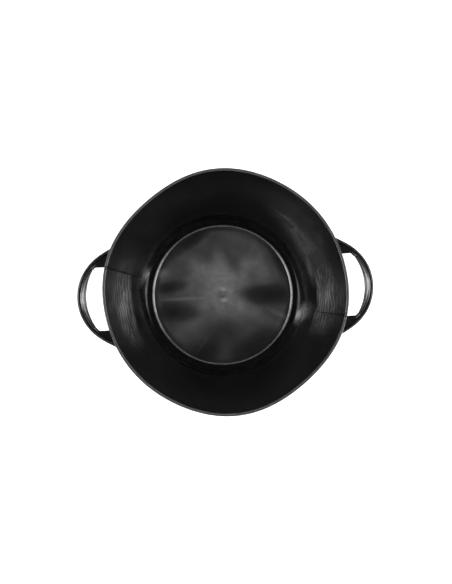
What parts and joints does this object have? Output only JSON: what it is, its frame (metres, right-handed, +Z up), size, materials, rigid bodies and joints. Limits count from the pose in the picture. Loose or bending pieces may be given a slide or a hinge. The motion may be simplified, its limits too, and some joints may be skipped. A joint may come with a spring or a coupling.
{
  "type": "gold pan",
  "caption": "Round deep pan moulded in soft black plastic, with a flared wall, a raised floor inside a groove, and a loop handle on either side for lifting and swirling.",
  "frame": {"origin": "middle of the sole, on the ground the pan stands on", "axes": "+X towards the right handle, along both handles, the longest extent; +Z up out of the pan's mouth, the shortest extent; +Y to the back"},
  "size_m": [0.4858, 0.405, 0.1617],
  "materials": {
    "pan": "glossy moulded soft polyethylene, with faint flow marks",
    "grip": "polished by the hand, glossy",
    "strap": "satin moulded soft polyethylene",
    "web": "matt, from a textured mould"
  },
  "bodies": {
    "root": {"foot_ring": "pan", "floor_bead": "pan", "floor_panel": "pan", "gate_mark": "pan", "wall": "pan", "rim_bead": "pan", "right_grip": "grip", "right_strap": "strap", "right_lug_front": "web", "right_lug_back": "web", "left_grip": "grip", "left_strap": "strap", "left_lug_front": "web", "left_lug_back": "web"}
  },
  "joints": []
}
